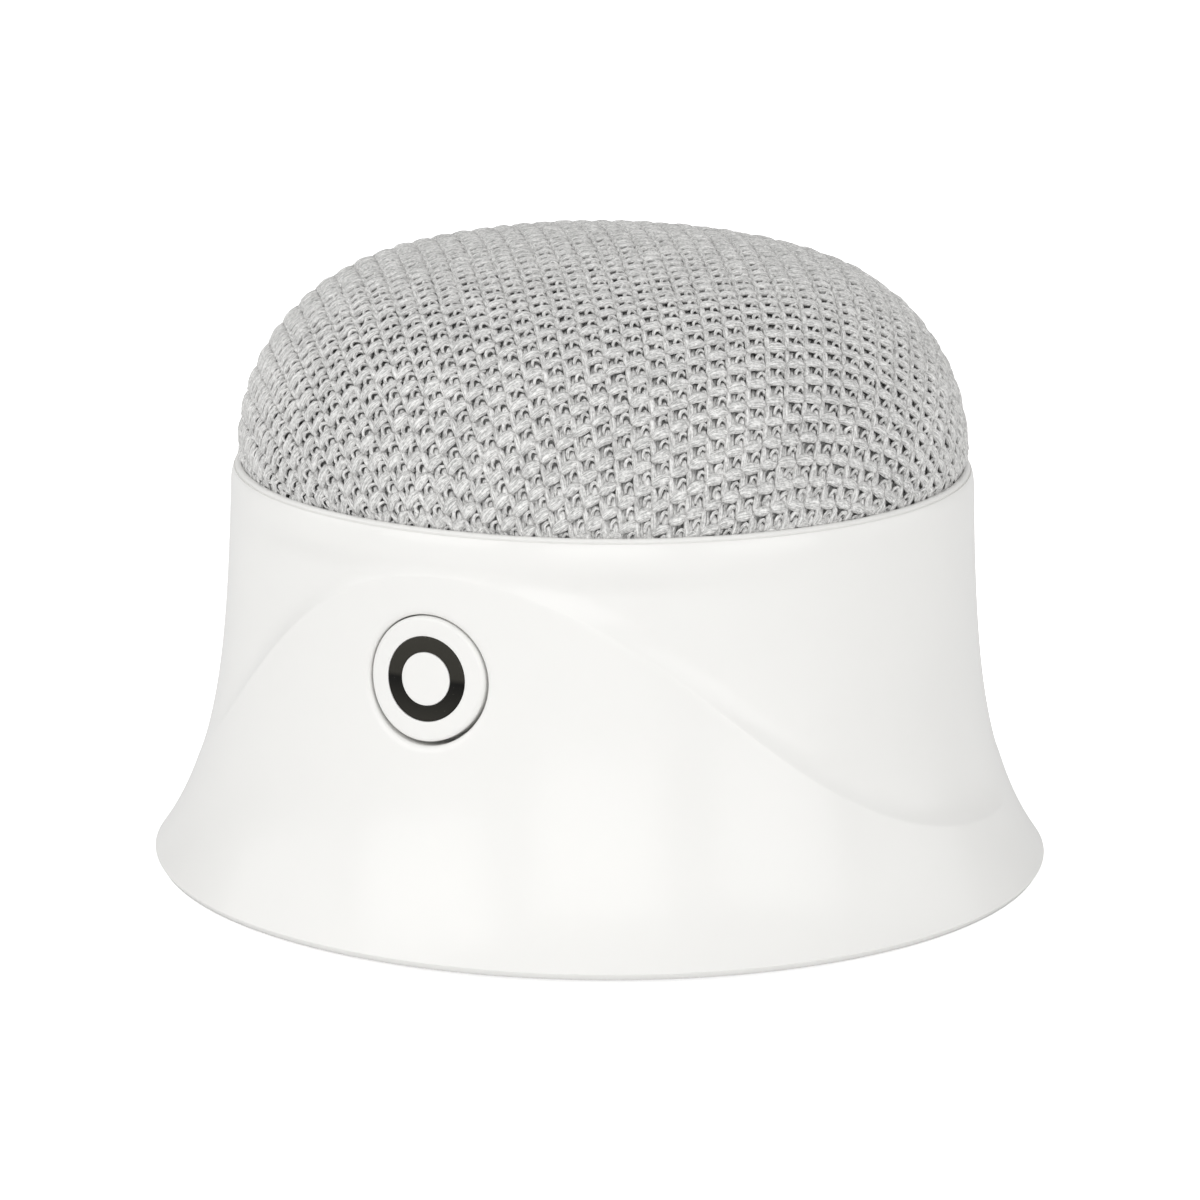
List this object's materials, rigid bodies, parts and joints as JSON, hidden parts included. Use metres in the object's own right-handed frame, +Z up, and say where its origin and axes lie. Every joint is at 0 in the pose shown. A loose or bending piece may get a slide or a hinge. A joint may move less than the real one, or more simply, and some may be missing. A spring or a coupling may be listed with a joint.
{
  "type": "portable wireless smart speaker",
  "caption": "Small round speaker with a flared white shell, a grey knitted dome on top and one round front button with a plain ring mark.",
  "frame": {"origin": "middle of the base pad's resting face, on the shell's own axis", "axes": "+Z up through the dome; -Y towards the front button; +Y towards the charging port; +X to the right as the button is faced"},
  "size_m": [0.062, 0.062, 0.0438],
  "materials": {
    "shell_white": "white moulded plastic with a soft satin gloss",
    "ring_dark": "dark smoked gloss",
    "knit_grey": "thick light grey knit",
    "frame_black": "fine matt moulding texture",
    "basket_black": "black powder coat",
    "zinc_steel": "bright zinc plate",
    "magnet_nickel": "nickel plated sintered magnet",
    "copper_wire": "enamelled copper winding",
    "coil_paper": "brown kraft paper tube",
    "spider_cloth": "resin-stiffened yellow cloth",
    "cone_paper": "pressed black paper pulp",
    "black_rubber": "matt black rubber",
    "gasket_foam": "black closed-cell foam",
    "terminal_brown": "brown laminate board",
    "board_green": "green solder mask",
    "shield_tin": "stamped tin shield",
    "chip_black": "moulded black epoxy",
    "capacitor_can": "bright aluminium can",
    "ceramic_white": "unglazed white ceramic",
    "nylon_ivory": "natural nylon",
    "switch_grey": "grey switch moulding",
    "sensor_gold": "gold plated sensor can",
    "ribbon_white": "white flat cable",
    "ribbon_amber": "amber polyimide",
    "base_grey": "light grey moulded plastic",
    "pad_grey": "soft grey silicone",
    "ballast_steel": "raw steel plate",
    "battery_pouch": "silver laminate pouch",
    "tape_amber": "double-sided tape",
    "wire_red": "red wire insulation",
    "wire_black": "black wire insulation"
  },
  "bodies": {
    "case": {"outer_shell": "shell_white", "fabric_cover": "knit_grey", "grille_dome": "frame_black", "baffle": "frame_black", "baffle_seal": "gasket_foam", "baffle_screws": "zinc_steel", "driver_frame": "basket_black", "yoke_cup": "zinc_steel", "driver_magnet": "magnet_nickel", "pole_plate": "zinc_steel", "spider": "spider_cloth", "surround": "black_rubber", "driver_gasket": "gasket_foam", "driver_terminals": "terminal_brown", "driver_screws": "zinc_steel", "switch_body": "switch_grey", "button_board": "board_green", "button_board_screws": "zinc_steel", "status_led": "ceramic_white", "button_ribbon": "ribbon_white", "main_board": "board_green", "wireless_module": "shield_tin", "antenna": "ceramic_white", "amplifier_chip": "chip_black", "power_chip": "chip_black", "inductors": "chip_black", "capacitors": "capacitor_can", "usb_socket": "shield_tin", "usb_tongue": "chip_black", "battery_connector": "nylon_ivory", "speaker_connector": "nylon_ivory", "ribbon_sockets": "nylon_ivory", "microphone": "sensor_gold", "mic_board": "board_green", "mic_ribbon": "ribbon_amber", "board_screws": "zinc_steel", "base_plate": "base_grey", "base_pad": "pad_grey", "base_screws": "zinc_steel", "ballast_plate": "ballast_steel", "battery": "battery_pouch", "battery_tape": "tape_amber", "battery_wires": "wire_red", "speaker_wires": "wire_black"},
    "button": {"button_cap": "shell_white", "button_ring": "ring_dark"},
    "plunger": {"switch_plunger": "chip_black"},
    "diaphragm": {"cone": "cone_paper", "dust_cap": "cone_paper", "coil_former": "coil_paper", "voice_coil": "copper_wire"}
  },
  "joints": [
    {"name": "button_press", "type": "slide", "parent": "case", "child": "button", "axis": [0, 0.9968, -0.0798], "range_m": [0, 0.0004], "stiffness_N_per_m": 800, "springref_m": -0.0002},
    {"name": "plunger_press", "type": "slide", "parent": "case", "child": "plunger", "axis": [0, 0.9968, -0.0798], "range_m": [0, 0.0004]},
    {"name": "cone_excursion", "type": "slide", "parent": "case", "child": "diaphragm", "axis": [0, 0, 1], "range_m": [-0.001, 0.001], "stiffness_N_per_m": 1500, "deforming": ["surround", "spider"]}
  ],
  "couplings": [
    {"joint": "plunger_press", "follows": "button_press", "ratio": 1}
  ]
}
